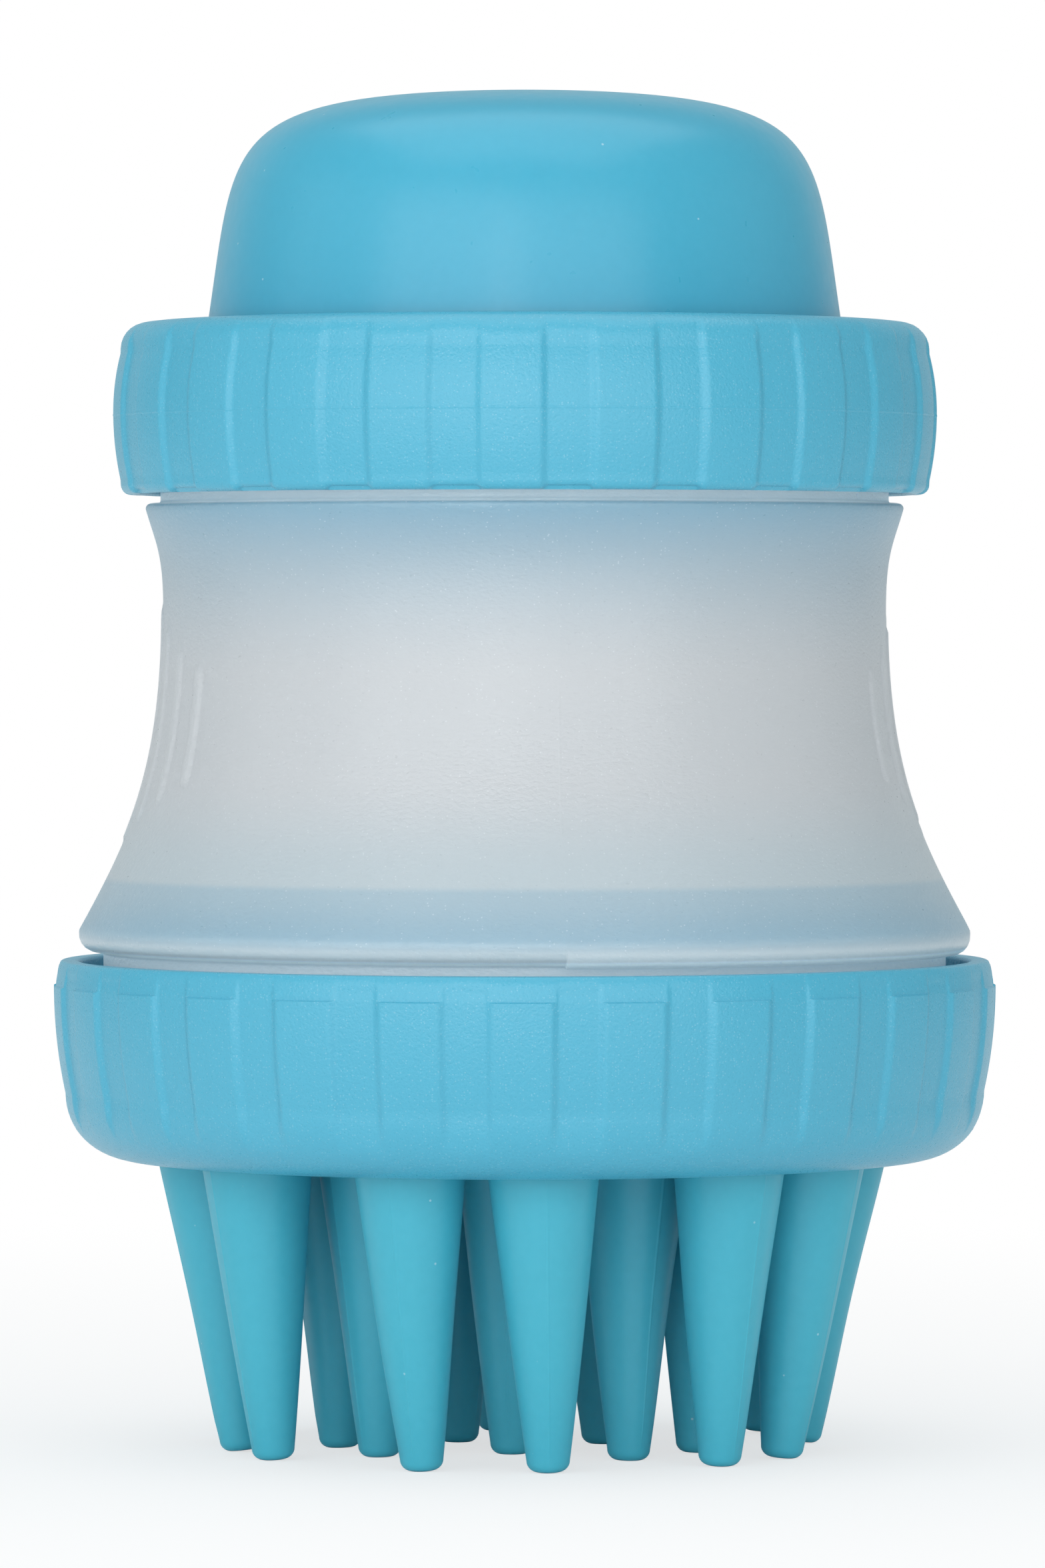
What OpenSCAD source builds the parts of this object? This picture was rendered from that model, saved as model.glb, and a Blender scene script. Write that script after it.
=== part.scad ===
// Hand-held wash sprayer brush: a soft bristle pad and a soft press dome,
// each clamped by a screw collar onto the threaded necks of a waisted bottle.
// Z = 0 is the plane of the bristle tips. The grip ribs of the bottle lie on the X sides.

/* [Bottle] */
// Height of the bottle's body between its lower shoulder and its upper rim
body_h = 42.1; // [36:0.1:60]
// How far the lower shoulder, where the bottle is widest, stands out of the lower neck
shoulder_step = 2.5; // [2.1:0.1:3.5]
// Radius of the waist
waist_r = 34.05; // [33.5:0.05:34.3]
// Height of the waist, as a share of the body's height
waist_share = 0.76; // [0.7:0.01:0.82]
// How far the upper rim stands out of the upper neck
rim_step = 1.4; // [1:0.1:2.2]
// Wall thickness of the bottle's body
body_wall = 1.9; // [1.4:0.1:2.1]
// Outer radius of the lower neck
low_neck_r = 39.7; // [39.5:0.1:39.9]
// Outer radius of the upper neck
top_neck_r = 34.3; // [34.1:0.1:34.5]
// Wall thickness of both necks
neck_wall = 2.1; // [1.8:0.1:2.2]
// Rounding of the shoulder's lower corner
shoulder_round = 1.6; // [0.8:0.1:2]
// Rounding of the upper rim
rim_round = 0.5; // [0.2:0.1:0.8]

/* [Grip ribs] */
// Ribs on each side of the waist
rib_count = 7; // [3:2:9]
// Angle from rib to rib
rib_pitch = 8; // [6:0.5:10]
// Width of a rib
rib_w = 1.7; // [1.2:0.1:2.4]
// How far a rib stands out of the wall
rib_proud = 0.3; // [0.2:0.05:0.6]
// Length of the middle rib, as a share of the body's height
rib_len_share = 0.5226; // [0.44:0.0002:0.6]
// How much shorter each rib is than the one before it
rib_step = 3.7; // [2:0.1:4.5]
// Height of the ribs' middle, as a share of the body's height
rib_share = 0.506; // [0.44:0.002:0.56]

/* [Threads] */
// Rise of a thread in one turn
thread_pitch = 4; // [3.6:0.1:4.4]
// Turns of each thread
thread_turns = 1.5; // [1.25:0.25:1.75]
// Height of a thread's foot
thread_foot = 1.6; // [1.4:0.1:1.7]
// Height of a thread's crest
thread_crest = 0.8; // [0.6:0.1:1]
// Plain length between a neck's end and its thread
thread_lead = 1.2; // [0.8:0.1:1.6]
// How far a thread stands out of its neck or collar
thread_depth = 1.3; // [1.1:0.1:1.4]
// Clearance between a neck's thread and its collar's thread
thread_clear = 0.35; // [0.3:0.05:0.45]
// Radial gap from a neck to the bore of its collar
collar_bore_gap = 2.2; // [2.1:0.05:2.3]

/* [Lower collar] */
// Plain length of the lower collar above its thread
low_skirt = 2.75; // [2:0.05:4]
// Greatest thickness of the lower collar's wall
low_collar_wall = 2.54; // [2.3:0.02:3.4]
// Radius of the bulge of the lower collar's side
low_collar_bulge = 46; // [40:1:80]
// Rounding of the lower collar's bottom corner
low_collar_round = 5.2; // [4:0.1:5.4]
// Depth below the collar's top at which the side is widest
low_collar_crest = 2.8; // [2.4:0.1:3.4]
// Radius of the arc from there to the top edge
low_collar_top_round = 5; // [4:0.5:7]
// Raised lands round the lower collar
low_land_count = 27; // [18:1:30]
// Width of a land of the lower collar
low_land_w = 6; // [4:0.1:6.2]
// How far the lower collar's lip reaches inwards past the neck's outside
low_lip_reach = 3.5; // [2.8:0.1:3.7]

/* [Upper collar] */
// Plain length of the upper collar below its thread
top_skirt = 0.25; // [0.1:0.05:2]
// Greatest thickness of the upper collar's wall
top_collar_wall = 2.33; // [2.2:0.01:3.1]
// Radius of the bulge of the upper collar's side, below its widest line
top_collar_low_bulge = 30; // [26:1:60]
// Radius of the bulge of the upper collar's side, above its widest line
top_collar_high_bulge = 22; // [20:1:60]
// Height of the widest line above the collar's bottom
top_collar_crest = 7.7; // [7:0.1:8.4]
// Rounding of the upper collar's top corner
top_collar_round = 2.6; // [2:0.1:3]
// Rounding of the upper collar's bottom corner
top_collar_low_round = 1; // [0.6:0.1:1.2]
// Raised lands round the upper collar
top_land_count = 23; // [16:1:25]
// Width of a land of the upper collar
top_land_w = 6; // [4:0.1:6.2]
// Gap from the upper collar's lip to the dome
top_lip_gap = 0.55; // [0.45:0.05:1.1]

/* [Both collars] */
// Depth of the recesses between the lands
recess_depth = 0.5; // [0.3:0.05:0.6]
// Width of the slope at each side of a recess
recess_slope = 0.45; // [0.2:0.05:0.7]
// Thickness of a collar's lip, which holds the soft flange
lip_h = 2.5; // [2:0.1:3]
// Gap between each collar and the bottle's body
collar_gap = 0.85; // [0.5:0.05:1.2]

/* [Press dome] */
// Height of the dome above the upper collar
dome_rise = 21.7; // [16:0.1:26]
// Thickness of the dome's plug inside the upper neck
dome_plug_wall = 1.6; // [1.4:0.05:2]
// Thickness of the dome's side
dome_wall = 1.8; // [1.4:0.1:2.4]
// Thickness of the dome's crown
crown_wall = 2.4; // [1.8:0.1:3.2]
// Length of the dome's plug inside the upper neck
dome_plug_len = 9; // [6:0.5:12]

/* [Bristle pad] */
// Length of the bristles below the lower collar
bristle_reach = 27.4; // [20:0.1:34]
// How far the pad's underside lies inside the collar's mouth
pad_recess = 1; // [0.5:0.1:2]
// Thickness of the pad
pad_h = 4; // [3:0.1:5]
// Thickness of the soft flanges that the collars clamp
flange_h = 3; // [2.5:0.1:3.5]
// Height of the top edge of the pad's plug above the lower shoulder
pad_plug_rise = 6.9; // [4:0.1:8]
// Thickness of the pad's plug
pad_plug_wall = 2; // [1.5:0.1:2.5]
// Radius of a bristle at its root, as a share of the lip's inner radius
bristle_root_share = 0.14365; // [0.12:0.00005:0.146]
// Radius of a bristle just above its tip
bristle_tip_r = 2.1; // [1.8:0.05:2.6]
// Rounding of a bristle's tip
bristle_tip_round = 0.9; // [0.5:0.05:1.1]
// Root circle of the outer bristles, as a share of the lip's inner radius
outer_root_share = 0.8287; // [0.82:0.0001:0.84]
// How much nearer the axis the outer bristles' tips lie
outer_lean = 2.1; // [0:0.1:3]
// Half the angle between the two bristles of an outer pair
outer_pair_half = 12; // [11.5:0.5:13.5]
// Root circle of the middle bristles, as a share of the lip's inner radius
middle_root_share = 0.5028; // [0.49:0.0001:0.52]
// How much nearer the axis the middle bristles' tips lie
middle_lean = 0.8; // [0:0.1:1.5]
// Half the angle between the two bristles of a middle pair
middle_pair_half = 17; // [17:0.5:19]
// Root circle of the inner bristles, as a share of the lip's inner radius
inner_root_share = 0.221; // [0.215:0.001:0.238]

/* [Outlet valve] */
// Radius of the pad's outlet hole
outlet_r = 2.7; // [2.2:0.05:2.7]
// Bore of the valve
valve_bore_r = 1.6; // [1.2:0.05:1.8]
// Radius of the valve's flange, which sits on the pad
valve_flange_r = 6.5; // [5:0.1:9]
// Thickness of the valve's flange
valve_flange_h = 1.2; // [0.8:0.1:2]
// Thickness of the slit lips that close the valve
valve_lip_h = 0.7; // [0.5:0.1:1]
// Width of the two crossed slits
slit_w = 0.2; // [0.15:0.05:0.3]

/* [Clearances] */
// Gap from a plug to the neck that it fills
plug_clear = 0.4; // [0.3:0.05:0.5]
// Gap from a flange's edge to the collar's thread
flange_clear = 0.5; // [0.4:0.05:0.8]
// Gap from the dome's side to its flange
dome_clear = 0.35; // [0.3:0.05:0.4]
// Gap from the valve to the pad's outlet hole
valve_clear = 0.1; // [0.05:0.01:0.15]

/* [Turn at rest] */
// Turn of the bristle pattern about the bottle's axis
pad_turn = -13; // [-60:0.5:60]
// Turn of the lower collar's lands
low_collar_turn = -4.6; // [-13:0.1:13]
// Turn of the upper collar's lands
top_collar_turn = -6.1; // [-15:0.1:15]

/* [Hidden] */
$fn = 96;
cut = 1;
root_bite = 0.3;
curve_steps = 18;
corner_steps = 6;
thread_step_angle = 10;
thread_fade = 3;
recess_reach = 4;
front = -90;

// Handles of the bottle's curves: how far each reaches from its end of the line,
// as shares of that line's [width, height]
waist_handle_low = [0, 0.497];
shoulder_handle = [0.601, 0.293];
waist_handle_top = [0, 0.583];
rim_handle = [0.545, 0.333];
rim_round_from = 15;

// Handles of the dome and the bristles: [inwards, share of the height]
dome_foot_handle = [2.7, 0.82];
dome_crown_inset = 0.9;
bristle_handle_low = [1.8, 0.33];
bristle_handle_top = [0.9, 0.3];

// The threads: the collar's ridge lies under the ridge of a neck above it, and over one below it
thread_mean = (thread_foot + thread_crest) / 2;
thread_offset = thread_mean + thread_clear;
thread_rise = thread_pitch * thread_turns;
clamped_h = lip_h + flange_h;
threaded_h = thread_lead + thread_foot + thread_rise + thread_offset;
low_collar_h = clamped_h + threaded_h + low_skirt;
top_collar_h = clamped_h + threaded_h + top_skirt;
waist_rise = body_h * waist_share;

// Heights, from the bristle tips up
z_low_collar = bristle_reach;
z_low_lip = z_low_collar + lip_h;
z_low_neck = z_low_lip + flange_h;
z_low_collar_top = z_low_collar + low_collar_h;
z_shoulder = z_low_collar_top + collar_gap;
z_waist = z_shoulder + waist_rise;
z_rim = z_shoulder + body_h;
z_top_collar = z_rim + collar_gap;
z_top_collar_top = z_top_collar + top_collar_h;
z_top_lip = z_top_collar_top - lip_h;
z_top_neck = z_top_lip - flange_h;
z_top = z_top_collar_top + dome_rise;
z_pad = z_low_collar + pad_recess;
z_pad_top = z_pad + pad_h;
z_pad_plug = z_shoulder + pad_plug_rise;

// Radii outwards and inwards from the two necks
shoulder_r = low_neck_r + shoulder_step;
rim_r = top_neck_r + rim_step;
low_bore_r = low_neck_r - neck_wall;
top_bore_r = top_neck_r - neck_wall;
low_plug_r = low_bore_r - plug_clear;
top_plug_r = top_bore_r - plug_clear;
low_collar_bore = low_neck_r + collar_bore_gap;
top_collar_bore = top_neck_r + collar_bore_gap;
low_collar_r = low_collar_bore + low_collar_wall;
top_collar_r = top_collar_bore + top_collar_wall;
low_flange_r = low_collar_bore - flange_clear;
top_flange_r = top_collar_bore - flange_clear;
low_lip_r = low_neck_r - low_lip_reach;
dome_seat_r = top_plug_r - dome_plug_wall;
dome_r = dome_seat_r - dome_clear;
top_lip_r = dome_r + top_lip_gap;
bristle_root_r = low_lip_r * bristle_root_share;
outer_root_r = low_lip_r * outer_root_share;
middle_root_r = low_lip_r * middle_root_share;
inner_root_r = low_lip_r * inner_root_share;

z_low_thread = z_low_neck + thread_lead + thread_foot / 2;
z_top_thread = z_top_neck - thread_lead - thread_foot / 2 - thread_rise;

// Points of a cubic curve from a to d, with b and c as its handles
function curve(a, b, c, d, steps) = [
    for (i = [0:steps])
        let (t = i / steps, s = 1 - t)
        s * s * s * a + 3 * s * s * t * b + 3 * s * t * t * c + t * t * t * d
];

// Points of a round corner about centre c
function corner(c, r, from, to, steps) = [
    for (i = [0:steps])
        let (angle = from + (to - from) * i / steps)
        c + r * [cos(angle), sin(angle)]
];

function shifted(points, by) = [for (p = points) p + [by, 0]];
function reversed(points) = [for (i = [len(points) - 1:-1:0]) points[i]];

// Depth of a shallow arc at a distance from its crest
function arc_drop(distance, radius) = radius - sqrt(radius * radius - distance * distance);

// ---------- Bottle ----------

// A curve from one corner of a line to the other, with its handles as shares of the span
function span_curve(from, to, handle_from, handle_to, steps) =
    let (dx = to[0] - from[0], dz = to[1] - from[1])
    curve(from, from + [handle_from[0] * dx, handle_from[1] * dz],
          to - [handle_to[0] * dx, handle_to[1] * dz], to, steps);

// The body's side, from the lower shoulder up to the rim
function body_side() = concat(
    span_curve([shoulder_r, z_shoulder + shoulder_round], [waist_r, z_waist],
               shoulder_handle, waist_handle_low, curve_steps),
    [for (p = span_curve([waist_r, z_waist], [rim_r, z_rim - rim_round],
                         waist_handle_top, rim_handle, curve_steps / 2))
        if (p[1] > z_waist) p]
);

module bottle_shell() {
    side = body_side();
    inner = [for (p = shifted(side, -body_wall))
             [p[0], min(p[1], z_rim - body_wall)]];
    rotate_extrude()
        polygon(concat(
            [[low_bore_r, z_low_neck], [low_neck_r, z_low_neck], [low_neck_r, z_shoulder]],
            corner([shoulder_r - shoulder_round, z_shoulder + shoulder_round], shoulder_round,
                   -90, 0, corner_steps),
            [for (i = [1:len(side) - 1]) side[i]],
            corner([rim_r - rim_round, z_rim - rim_round], rim_round, rim_round_from, 90,
                   corner_steps),
            [[top_neck_r, z_rim], [top_neck_r, z_top_neck], [top_bore_r, z_top_neck],
             [top_bore_r, z_rim - body_wall]],
            [for (i = [len(inner) - 2:-1:0]) inner[i]],
            [[low_bore_r, z_shoulder + shoulder_round - body_wall / 2]]
        ));
}

// A skin that stands proud of the body's side, cut into upright ribs with round ends
module grip_ribs() {
    side = body_side();
    reach = (rib_count - 1) / 2;
    intersection() {
        rotate_extrude()
            polygon(concat(shifted(side, rib_proud), reversed(shifted(side, -body_wall / 2))));
        for (face = [0, 180], i = [-reach:reach])
            rotate([0, 0, face + i * rib_pitch])
                rib_slab(body_h * rib_len_share - abs(i) * rib_step);
    }
}

module rib_slab(length) {
    translate([0, 0, z_shoulder + body_h * rib_share])
        rotate([90, 0, 90])
            linear_extrude(shoulder_r + cut) {
                square([rib_w, length - rib_w], center = true);
                for (end = [-1, 1])
                    translate([0, end * (length - rib_w) / 2])
                        circle(d = rib_w, $fn = 24);
            }
}

module reservoir() {
    color([0.86, 0.90, 0.92, 0.75]) {
        bottle_shell();
        grip_ribs();
        thread(low_neck_r, 1, z_low_thread);
        thread(top_neck_r, 1, z_top_thread);
    }
}

// ---------- Threads ----------

// A ridge that climbs round a cylinder: side is 1 outside a neck and -1 inside a collar
module thread(r, side, z) {
    steps = round(360 * thread_turns / thread_step_angle);
    rings = [
        for (i = [0:steps])
            let (angle = i * thread_step_angle,
                 grow = min(1, (min(i, steps - i) + 1) / thread_fade),
                 rise = z + thread_pitch * angle / 360,
                 foot = r - side * root_bite,
                 crest = r + side * thread_depth * grow)
            [for (p = [[foot, -thread_foot / 2], [crest, -thread_crest / 2],
                       [crest, thread_crest / 2], [foot, thread_foot / 2]])
                [p[0] * cos(angle), p[0] * sin(angle), rise + p[1]]]
    ];
    tube(rings, side);
}

// A closed solid through equal rings of four points
module tube(rings, side) {
    last = len(rings) - 1;
    walls = [
        for (i = [0:last - 1], j = [0:3])
            let (a = 4 * i + j, b = 4 * i + (j + 1) % 4)
            each [[a, b, b + 4], [a, b + 4, a + 4]]
    ];
    ends = [[3, 2, 1], [3, 1, 0], [4 * last, 4 * last + 1, 4 * last + 2],
            [4 * last, 4 * last + 2, 4 * last + 3]];
    faces = concat(walls, ends);
    polyhedron([for (ring = rings) each ring],
               side > 0 ? faces : [for (f = faces) [f[2], f[1], f[0]]]);
}

// ---------- Collars ----------

// Cuts the recesses between a collar's lands: side holds the collar's outer line in the recess
module recesses(side, r, lands, land_w, turn) {
    pitch = 360 / lands;
    floor_line = shifted(side, -recess_depth);
    last = len(side) - 1;
    half = (2 * PI * r / lands - land_w) / 2;
    inside = r - recess_reach;
    intersection() {
        rotate_extrude()
            polygon(concat(
                [side[0] + [cut, 0]], floor_line, [side[last] + [cut, 0]]));
        for (i = [0:lands - 1])
            rotate([0, 0, front + turn + (i + 0.5) * pitch])
                translate([0, 0, side[0][1] - cut])
                    linear_extrude(side[last][1] - side[0][1] + 2 * cut)
                        polygon([
                            [inside, recess_slope - half], [r - recess_depth, recess_slope - half],
                            [r + cut, -half - recess_slope], [r + cut, half + recess_slope],
                            [r - recess_depth, half - recess_slope], [inside, half - recess_slope]
                        ]);
    }
}

// Outer line of the lower collar's side, from the bottom corner up to the crest
function low_side(from) = [
    for (i = [0:curve_steps])
        let (z = from + (z_low_crest - from) * i / curve_steps)
        [low_collar_r - arc_drop(z_low_crest - z, low_collar_bulge), z]
];
z_low_crest = z_low_collar_top - low_collar_crest;
z_low_corner = z_low_collar + low_collar_round;
low_top_angle = asin(low_collar_crest / low_collar_top_round);

module bottom_collar() {
    side = low_side(z_low_corner);
    color([0.44, 0.76, 0.86])
        difference() {
            union() {
                rotate_extrude()
                    polygon(concat(
                        [[low_lip_r, z_low_collar]],
                        corner([side[0][0] - low_collar_round, z_low_corner], low_collar_round,
                               -90, 0, 2 * corner_steps),
                        [for (i = [1:curve_steps]) side[i]],
                        [for (i = [1:corner_steps])
                            let (angle = low_top_angle * i / corner_steps)
                            [low_collar_r - low_collar_top_round * (1 - cos(angle)),
                             z_low_crest + low_collar_top_round * sin(angle)]],
                        [[low_collar_bore, z_low_collar_top], [low_collar_bore, z_low_lip],
                         [low_lip_r, z_low_lip]]
                    ));
                thread(low_collar_bore, -1, z_low_thread + thread_offset);
            }
            recesses(low_side(z_low_collar + low_collar_round / 2), low_collar_r,
                     low_land_count, low_land_w, low_collar_turn);
        }
}

z_top_crest = z_top_collar + top_collar_crest;
z_top_corner = z_top_collar_top - top_collar_round;
z_top_foot = z_top_collar + top_collar_low_round;

// Outer line of the upper collar's side between two heights
function top_side(from, to) = [
    for (i = [0:curve_steps])
        let (z = from + (to - from) * i / curve_steps,
             bulge = z > z_top_crest ? top_collar_high_bulge : top_collar_low_bulge)
        [top_collar_r - arc_drop(abs(z - z_top_crest), bulge), z]
];

module top_collar() {
    side = top_side(z_top_foot, z_top_corner);
    color([0.44, 0.76, 0.86])
        difference() {
            union() {
                rotate_extrude()
                    polygon(concat(
                        [[top_collar_bore, z_top_lip], [top_collar_bore, z_top_collar]],
                        corner([side[0][0] - top_collar_low_round, z_top_foot],
                               top_collar_low_round, -90, 0, corner_steps),
                        [for (i = [1:curve_steps - 1]) side[i]],
                        corner([side[curve_steps][0] - top_collar_round, z_top_corner],
                               top_collar_round, 0, 90, corner_steps),
                        [[top_lip_r, z_top_collar_top], [top_lip_r, z_top_lip]]
                    ));
                thread(top_collar_bore, -1, z_top_thread - thread_offset);
            }
            recesses(top_side(z_top_collar - cut, z_top_corner), top_collar_r,
                     top_land_count, top_land_w, top_collar_turn);
        }
}

// ---------- Press dome ----------

// The dome's line from its foot to its crown, drawn in by a wall thickness
function dome_side(wall, crown) = curve(
    [dome_r - wall, z_top_collar_top],
    [dome_r - wall - dome_foot_handle[0], z_top_collar_top + dome_foot_handle[1] * dome_rise],
    [dome_r - wall - dome_crown_inset, z_top - crown],
    [0, z_top - crown], curve_steps);

module pump_dome() {
    color([0.28, 0.64, 0.82])
        rotate_extrude()
            polygon(concat([[dome_r, z_top_neck]], dome_side(0, 0),
                           reversed(dome_side(dome_wall, crown_wall)),
                           [[dome_r - dome_wall, z_top_neck]]));
}

module dome_flange() {
    color([0.28, 0.64, 0.82])
        rotate_extrude()
            polygon([
                [dome_seat_r, z_top_lip], [dome_seat_r, z_top_neck - dome_plug_len],
                [top_plug_r, z_top_neck - dome_plug_len], [top_plug_r, z_top_neck],
                [top_flange_r, z_top_neck], [top_flange_r, z_top_lip]
            ]);
}

// ---------- Bristle pad ----------

module bristle_pad() {
    color([0.28, 0.64, 0.82])
        rotate_extrude()
            polygon([
                [outlet_r, z_pad], [low_lip_r - plug_clear, z_pad],
                [low_lip_r - plug_clear, z_low_lip], [low_flange_r, z_low_lip],
                [low_flange_r, z_low_neck], [low_plug_r, z_low_neck], [low_plug_r, z_pad_plug],
                [low_plug_r - pad_plug_wall, z_pad_plug], [low_plug_r - pad_plug_wall, z_pad_top],
                [outlet_r, z_pad_top]
            ]);
}

// A bristle that hangs from the pad's underside and narrows in a slight curve to its tip
module bristle(root_at, lean) {
    tilt = atan(lean / z_pad);
    length = z_pad / cos(tilt);
    translate([root_at - lean, 0, 0])
        rotate([0, tilt, 0])
            rotate_extrude()
                polygon(concat(
                    [[0, -cut], [bristle_tip_r - bristle_tip_round, -cut]],
                    corner([bristle_tip_r - bristle_tip_round, bristle_tip_round],
                           bristle_tip_round, -90, 0, corner_steps),
                    curve([bristle_tip_r, bristle_tip_round],
                          [bristle_tip_r + bristle_handle_low[0], bristle_handle_low[1] * length],
                          [bristle_root_r - bristle_handle_top[0],
                           (1 - bristle_handle_top[1]) * length],
                          [bristle_root_r, length + cut], corner_steps),
                    [[0, length + cut]]
                ));
}

module pad_bristles() {
    color([0.28, 0.64, 0.82])
        intersection() {
            translate([0, 0, z_pad / 2])
                cylinder(r = low_lip_r, h = z_pad, center = true);
            rotate([0, 0, front + pad_turn]) {
                for (i = [0:5], half = [-1, 1])
                    rotate([0, 0, 60 * i + half * outer_pair_half])
                        bristle(outer_root_r, outer_lean);
                for (i = [0:2], half = [-1, 1])
                    rotate([0, 0, 60 + 120 * i + half * middle_pair_half])
                        bristle(middle_root_r, middle_lean);
                for (i = [0:2])
                    rotate([0, 0, 120 * i])
                        bristle(inner_root_r, 0);
            }
        }
}

// ---------- Outlet valve ----------

module outlet_valve() {
    stem_r = outlet_r - valve_clear;
    color([0.80, 0.88, 0.91])
        difference() {
            rotate_extrude()
                polygon([
                    [0, z_pad], [stem_r, z_pad], [stem_r, z_pad_top], [valve_flange_r, z_pad_top],
                    [valve_flange_r, z_pad_top + valve_flange_h],
                    [valve_bore_r, z_pad_top + valve_flange_h],
                    [valve_bore_r, z_pad + valve_lip_h], [0, z_pad + valve_lip_h]
                ]);
            for (turn = [0, 90])
                rotate([0, 0, turn])
                    translate([0, 0, z_pad])
                        cube([2 * valve_bore_r - slit_w, slit_w, 4 * valve_lip_h], center = true);
        }
}

reservoir();
top_collar();
pump_dome();
dome_flange();
bottom_collar();
bristle_pad();
pad_bristles();
outlet_valve();
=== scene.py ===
# Hand-held wash brush: a frosted bottle, two screw collars, a press dome and a bristle pad.
# Sizes in the dictionaries are in millimetres and degrees, and mm turns them into metres.
import math

import bpy
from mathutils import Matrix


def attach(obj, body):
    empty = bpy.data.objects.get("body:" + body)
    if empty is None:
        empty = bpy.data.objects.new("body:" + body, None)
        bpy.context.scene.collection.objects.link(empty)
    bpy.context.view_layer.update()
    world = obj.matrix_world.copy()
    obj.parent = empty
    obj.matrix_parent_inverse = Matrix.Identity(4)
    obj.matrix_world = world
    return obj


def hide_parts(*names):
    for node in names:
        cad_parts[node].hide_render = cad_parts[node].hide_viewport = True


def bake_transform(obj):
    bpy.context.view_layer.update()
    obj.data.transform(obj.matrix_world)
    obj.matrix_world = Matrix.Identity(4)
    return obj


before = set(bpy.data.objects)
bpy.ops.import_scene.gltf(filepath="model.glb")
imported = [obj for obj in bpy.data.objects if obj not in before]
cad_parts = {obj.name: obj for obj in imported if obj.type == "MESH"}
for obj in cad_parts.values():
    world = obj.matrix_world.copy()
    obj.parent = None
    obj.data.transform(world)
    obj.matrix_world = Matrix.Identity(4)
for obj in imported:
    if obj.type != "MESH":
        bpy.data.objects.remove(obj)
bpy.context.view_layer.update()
mm = 0.001
print("frame loaded:", len(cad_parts), "nodes")


# ---- Lines of a turned profile, as lists of (radius, height) ----

# handles are the points that pull a curve towards them
def curveLine(start, startHandle, endHandle, end, steps):
    line = []
    for step in range(steps + 1):
        t = step / steps
        s = 1 - t
        weights = (s * s * s, 3 * s * s * t, 3 * s * t * t, t * t * t)
        line.append(tuple(
            sum(w * p[axis] for w, p in zip(weights, (start, startHandle, endHandle, end)))
            for axis in (0, 1)))
    return line


def arcDrop(distance, radius):  # how far a shallow arc falls away at a distance from its crest
    return radius - math.sqrt(radius * radius - distance * distance)


def quarterRound(centre, radius, steps):  # from right under the centre to right beside it
    line = []
    for step in range(steps + 1):
        angle = math.radians(-90 + 90 * step / steps)
        line.append((centre[0] + radius * math.cos(angle), centre[1] + radius * math.sin(angle)))
    return line


def roundedLine(corners, steps=5):  # corners are (radius, height) or (radius, height, rounding)
    line = []
    for index, corner in enumerate(corners):
        rounding = corner[2] if len(corner) > 2 else 0
        if rounding == 0:
            line.append(corner[:2])
            continue
        before, after = corners[index - 1], corners[(index + 1) % len(corners)]
        toBefore = (before[0] - corner[0], before[1] - corner[1])
        toAfter = (after[0] - corner[0], after[1] - corner[1])
        lengths = math.hypot(*toBefore), math.hypot(*toAfter)
        toBefore = (toBefore[0] / lengths[0], toBefore[1] / lengths[0])
        toAfter = (toAfter[0] / lengths[1], toAfter[1] / lengths[1])
        half = math.acos(max(-1, min(1, toBefore[0] * toAfter[0] + toBefore[1] * toAfter[1]))) / 2
        reach = rounding / math.tan(half)
        middle = (toBefore[0] + toAfter[0], toBefore[1] + toAfter[1])
        scale = rounding / math.sin(half) / math.hypot(*middle)
        centre = (corner[0] + middle[0] * scale, corner[1] + middle[1] * scale)
        first = (corner[0] + toBefore[0] * reach, corner[1] + toBefore[1] * reach)
        last = (corner[0] + toAfter[0] * reach, corner[1] + toAfter[1] * reach)
        start = math.atan2(first[1] - centre[1], first[0] - centre[0])
        turn = math.atan2(last[1] - centre[1], last[0] - centre[0]) - start
        turn = (turn + math.pi) % (2 * math.pi) - math.pi
        for step in range(steps + 1):
            angle = start + turn * step / steps
            line.append((centre[0] + rounding * math.cos(angle),
                         centre[1] + rounding * math.sin(angle)))
    return line


def softStep(value, low, high):
    t = max(0.0, min(1.0, (value - low) / (high - low)))
    return t * t * (3 - 2 * t)


# ---- Turning, embossing and joining ----

def clearSelection():
    bpy.ops.object.select_all(action="DESELECT")


def pullProfile(name, line, startAngle=0.0, closed=True):
    # a plane is merged to one point, and the point is pulled along the line
    cosine, sine = math.cos(math.radians(startAngle)), math.sin(math.radians(startAngle))
    clearSelection()
    first = line[0]
    bpy.ops.mesh.primitive_plane_add(
        size=mm, location=(first[0] * cosine * mm, first[0] * sine * mm, first[1] * mm))
    piece = bpy.context.active_object
    piece.name = name
    piece.data.name = name
    bpy.ops.object.transform_apply(location=True, rotation=True, scale=True)
    bpy.ops.object.mode_set(mode="EDIT")
    bpy.ops.mesh.select_all(action="SELECT")
    bpy.ops.mesh.merge(type="CENTER")
    stops = list(line) + ([first] if closed else [])
    for near, far in zip(stops, stops[1:]):
        step = (far[0] - near[0]) * mm
        bpy.ops.mesh.extrude_vertices_move(TRANSFORM_OT_translate={
            "value": (step * cosine, step * sine, (far[1] - near[1]) * mm)})
    return piece


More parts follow.
